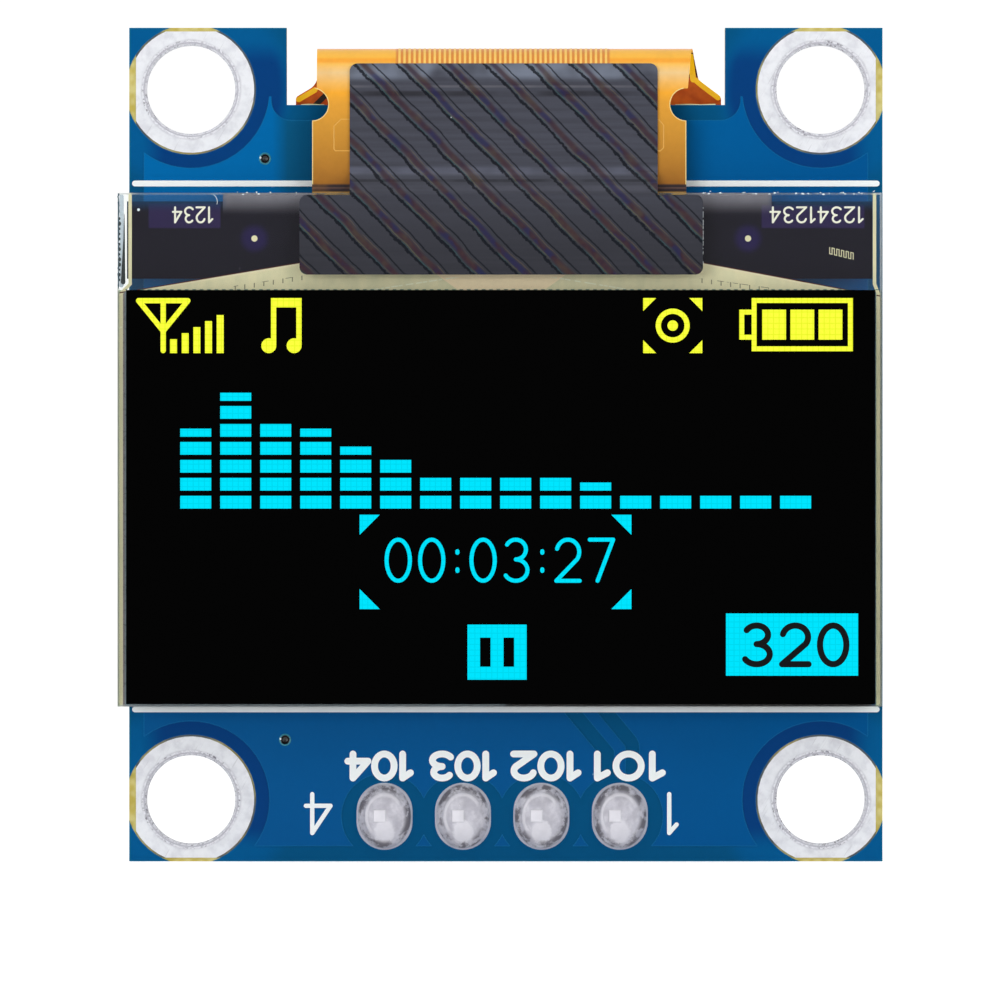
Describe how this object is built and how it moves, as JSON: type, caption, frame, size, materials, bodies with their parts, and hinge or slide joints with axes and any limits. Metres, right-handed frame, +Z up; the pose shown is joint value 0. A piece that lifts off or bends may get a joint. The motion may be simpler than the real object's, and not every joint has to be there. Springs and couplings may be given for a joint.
{
  "type": "small oled display module",
  "caption": "Notched circuit board carrying a glass display panel, with a flex circuit folded through the notch to its back and a header with a row of square pins.",
  "frame": {"origin": "centre of the four mounting holes, on the front face of the board's laminate", "axes": "+Z up the board towards the flex circuit's fold, +X to the right as the display is seen, -Y out of the display face"},
  "size_m": [0.0248, 0.0114, 0.027],
  "materials": {
    "laminate": "glass-fibre board, matt cut edges",
    "solder_mask": "blue lacquer over copper, semi-gloss",
    "white_print": "matt white ink",
    "tinned_metal": "tinned copper, bright satin",
    "solder": "solder, smooth and glossy",
    "header_plastic": "black moulded plastic",
    "gold_pin": "gold-plated brass, bright",
    "foam": "black foam tape",
    "glass": "clear thin glass, polished faces",
    "seal": "cured adhesive",
    "emitter": "dark layer stack",
    "polariser": "black polarising film, glossy",
    "ledge_film": "black film seen through glass",
    "electrode": "pale green conductor film",
    "silicon": "polished silicon",
    "flex_film": "amber plastic film over copper tracks",
    "shield_tape": "dark grey tape with diagonal interference streaks",
    "yellow_light": "lit yellow",
    "cyan_light": "lit sky blue",
    "package_epoxy": "black moulded epoxy",
    "ceramic": "brown ceramic with tinned ends",
    "resistor_glaze": "black glaze with tinned ends"
  },
  "bodies": {
    "root": {"board_laminate": "laminate", "front_solder_mask": "solder_mask", "back_solder_mask": "solder_mask", "front_print": "white_print", "back_print": "white_print", "mounting_land_1": "tinned_metal", "mounting_land_2": "tinned_metal", "mounting_land_3": "tinned_metal", "mounting_land_4": "tinned_metal", "header_housing": "header_plastic", "header_pin_1": "gold_pin", "header_pin_2": "gold_pin", "header_pin_3": "gold_pin", "header_pin_4": "gold_pin", "solder_joint_1": "solder", "solder_joint_2": "solder", "solder_joint_3": "solder", "solder_joint_4": "solder", "foam_tape": "foam", "rear_glass": "glass", "edge_seal": "seal", "light_emitting_stack": "emitter", "front_glass": "glass", "polariser": "polariser", "ledge_film": "ledge_film", "glass_electrodes": "electrode", "driver_chip": "silicon", "flex_circuit": "flex_film", "flex_finger_solder": "solder", "light_shield_tape": "shield_tape", "yellow_picture": "yellow_light", "blue_picture": "cyan_light", "regulator_body": "package_epoxy", "regulator_leads": "tinned_metal", "diode_body": "package_epoxy", "diode_leads": "tinned_metal", "component_solder": "solder", "capacitor_1": "ceramic", "capacitor_2": "ceramic", "capacitor_3": "ceramic", "capacitor_4": "ceramic", "capacitor_5": "ceramic", "capacitor_6": "ceramic", "capacitor_7": "ceramic", "capacitor_8": "ceramic", "resistor_1": "resistor_glaze", "resistor_2": "resistor_glaze", "resistor_3": "resistor_glaze", "resistor_4": "resistor_glaze", "resistor_5": "resistor_glaze", "resistor_6": "resistor_glaze"}
  },
  "joints": []
}
